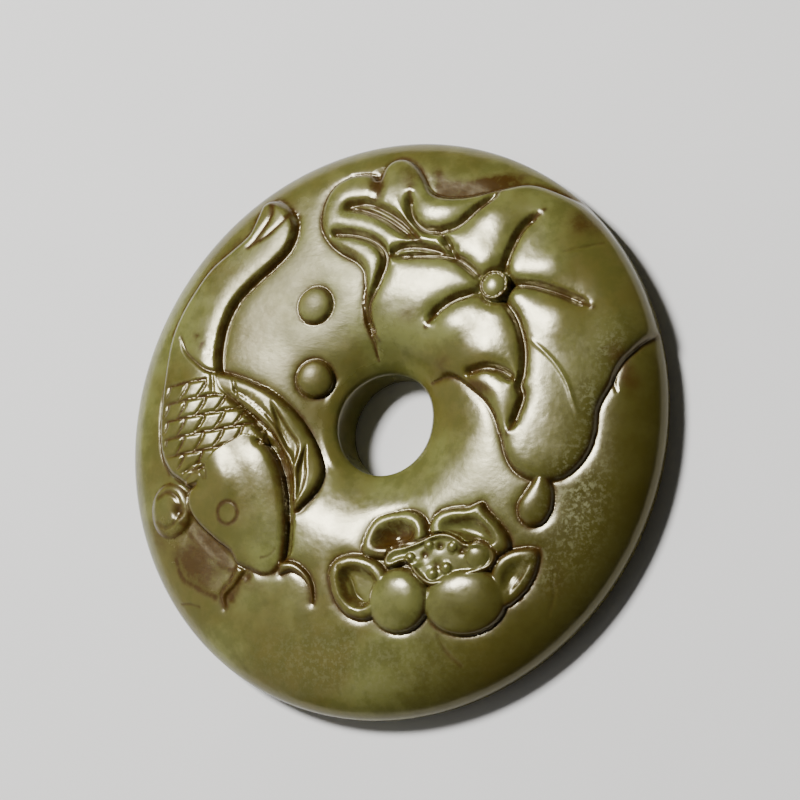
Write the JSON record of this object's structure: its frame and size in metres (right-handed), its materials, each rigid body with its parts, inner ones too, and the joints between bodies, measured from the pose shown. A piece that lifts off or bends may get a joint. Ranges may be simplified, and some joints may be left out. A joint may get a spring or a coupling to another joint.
{
  "type": "carved jade disc pendant",
  "caption": "Thick round jade disc pierced for a cord, with a flat back and a domed face carved with a carp, a folded lotus leaf, a lotus flower, bubbles and a dew drop.",
  "frame": {"origin": "centre of the flat back, on the axis of the hole", "axes": "+Z out of the carved face along the hole's axis, +Y towards the top of the carved picture, +X to its right as one looks at the face"},
  "size_m": [0.056, 0.056, 0.0074],
  "materials": {
    "jade": "waxy hand polish, translucent olive-green nephrite with brown stain in the cuts"
  },
  "bodies": {
    "root": {"jade_disc": "jade"}
  },
  "joints": []
}
